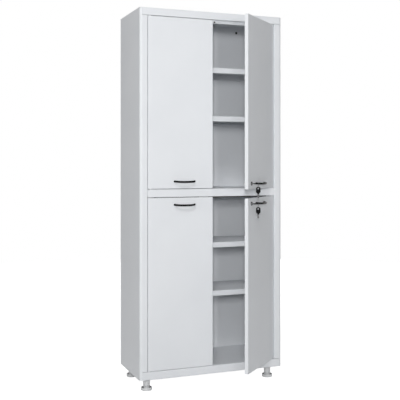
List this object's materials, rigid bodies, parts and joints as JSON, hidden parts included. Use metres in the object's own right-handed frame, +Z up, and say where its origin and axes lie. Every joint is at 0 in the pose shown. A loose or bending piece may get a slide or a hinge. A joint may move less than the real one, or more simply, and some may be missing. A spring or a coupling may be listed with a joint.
{
  "type": "medicine cabinet",
  "caption": "Tall white sheet-steel medicine cabinet in an upper and a lower section, with solid pivot doors, bow handles, cam locks with keys, folded shelves and screw feet.",
  "frame": {"origin": "on the floor, in the middle of the rectangle that the part covers as it stands with its right doors ajar", "axes": "+X to the right seen from the front, +Y from the front to the back, +Z up"},
  "size_m": [0.7, 0.5344, 1.713],
  "materials": {
    "powder_coat": "white powder coat, semi-matt with a fine texture",
    "handle_plastic": "near-black, glossy",
    "zinc_steel": "zinc plated",
    "chrome": "polished",
    "key": "black moulded head, nickel-plated blade",
    "foot_plastic": "light grey, satin",
    "catch_plastic": "light grey"
  },
  "bodies": {
    "carcass": {"back_panel": "powder_coat", "bottom_panel": "powder_coat", "foot_sleeve_front_left": "foot_plastic", "foot_sleeve_front_right": "foot_plastic", "foot_sleeve_rear_left": "foot_plastic", "foot_sleeve_rear_right": "foot_plastic", "left_side_panel": "powder_coat", "magnet_catch_lower": "catch_plastic", "magnet_catch_upper": "catch_plastic", "middle_partition": "powder_coat", "right_side_panel": "powder_coat", "shelf_bracket_lower_1_left": "powder_coat", "shelf_bracket_lower_1_right": "powder_coat", "shelf_bracket_lower_2_left": "powder_coat", "shelf_bracket_lower_2_right": "powder_coat", "shelf_bracket_upper_1_left": "powder_coat", "shelf_bracket_upper_1_right": "powder_coat", "shelf_bracket_upper_2_left": "powder_coat", "shelf_bracket_upper_2_right": "powder_coat", "shelf_lower_1": "powder_coat", "shelf_lower_2": "powder_coat", "shelf_upper_1": "powder_coat", "shelf_upper_2": "powder_coat", "top_panel": "powder_coat", "upright_left_front": "powder_coat", "upright_left_rear": "powder_coat", "upright_right_front": "powder_coat", "upright_right_rear": "powder_coat"},
    "upper_left_leaf": {"door_upper_left": "powder_coat", "handle_upper_left": "handle_plastic", "hinge_pin_upper_left_top": "zinc_steel", "hinge_pin_upper_left_bottom": "zinc_steel"},
    "lower_left_leaf": {"door_lower_left": "powder_coat", "handle_lower_left": "handle_plastic", "hinge_pin_lower_left_top": "zinc_steel", "hinge_pin_lower_left_bottom": "zinc_steel"},
    "upper_right_leaf": {"door_upper_right": "powder_coat", "handle_upper_right": "handle_plastic", "hinge_pin_upper_right_top": "zinc_steel", "hinge_pin_upper_right_bottom": "zinc_steel", "lock_barrel_upper": "chrome", "key_ring_upper": "chrome"},
    "lower_right_leaf": {"door_lower_right": "powder_coat", "handle_lower_right": "handle_plastic", "hinge_pin_lower_right_top": "zinc_steel", "hinge_pin_lower_right_bottom": "zinc_steel", "lock_barrel_lower": "chrome", "key_ring_lower": "chrome"},
    "upper_lock_core": {"lock_plug_upper": "chrome", "lock_cam_upper": "zinc_steel", "key_upper": "key"},
    "upper_spare_key": {"spare_key_upper": "key"},
    "lower_lock_core": {"lock_plug_lower": "chrome", "lock_cam_lower": "zinc_steel", "key_lower": "key"},
    "lower_spare_key": {"spare_key_lower": "key"},
    "front_left_foot": {"foot_pad_front_left": "foot_plastic"},
    "front_right_foot": {"foot_pad_front_right": "foot_plastic"},
    "rear_left_foot": {"foot_pad_rear_left": "foot_plastic"},
    "rear_right_foot": {"foot_pad_rear_right": "foot_plastic"}
  },
  "joints": [
    {"name": "upper_left_door_swing", "type": "hinge", "parent": "carcass", "child": "upper_left_leaf", "pos_m": [-0.2995, -0.04634, 1.295], "axis": [0, 0, -1], "range_deg": [0, 110]},
    {"name": "lower_left_door_swing", "type": "hinge", "parent": "carcass", "child": "lower_left_leaf", "pos_m": [-0.2995, -0.04634, 0.484], "axis": [0, 0, -1], "range_deg": [0, 110]},
    {"name": "upper_right_door_swing", "type": "hinge", "parent": "carcass", "child": "upper_right_leaf", "pos_m": [0.2995, -0.04634, 1.295], "axis": [0, 0, 1], "range_deg": [-42.5, 67.5]},
    {"name": "lower_right_door_swing", "type": "hinge", "parent": "carcass", "child": "lower_right_leaf", "pos_m": [0.2995, -0.04634, 0.484], "axis": [0, 0, 1], "range_deg": [-42.5, 67.5]},
    {"name": "upper_lock_turn", "type": "hinge", "parent": "upper_right_leaf", "child": "upper_lock_core", "pos_m": [0.1122, -0.22679, 0.9315], "axis": [0.6756, -0.7373, 0], "range_deg": [0, 90]},
    {"name": "upper_spare_key_swing", "type": "hinge", "parent": "upper_right_leaf", "child": "upper_spare_key", "pos_m": [0.13058, -0.25726, 0.91294], "axis": [-0.5373, -0.8434, 0], "range_deg": [-40, 40]},
    {"name": "lower_lock_turn", "type": "hinge", "parent": "lower_right_leaf", "child": "lower_lock_core", "pos_m": [0.1122, -0.22679, 0.8425], "axis": [0.6756, -0.7373, 0], "range_deg": [0, 90]},
    {"name": "lower_spare_key_swing", "type": "hinge", "parent": "lower_right_leaf", "child": "lower_spare_key", "pos_m": [0.13058, -0.25726, 0.82394], "axis": [-0.5373, -0.8434, 0], "range_deg": [-40, 40]},
    {"name": "front_left_foot_screw", "type": "slide", "parent": "carcass", "child": "front_left_foot", "axis": [0, 0, -1], "range_m": [0, 0.02]},
    {"name": "front_right_foot_screw", "type": "slide", "parent": "carcass", "child": "front_right_foot", "axis": [0, 0, -1], "range_m": [0, 0.02]},
    {"name": "rear_left_foot_screw", "type": "slide", "parent": "carcass", "child": "rear_left_foot", "axis": [0, 0, -1], "range_m": [0, 0.02]},
    {"name": "rear_right_foot_screw", "type": "slide", "parent": "carcass", "child": "rear_right_foot", "axis": [0, 0, -1], "range_m": [0, 0.02]}
  ]
}
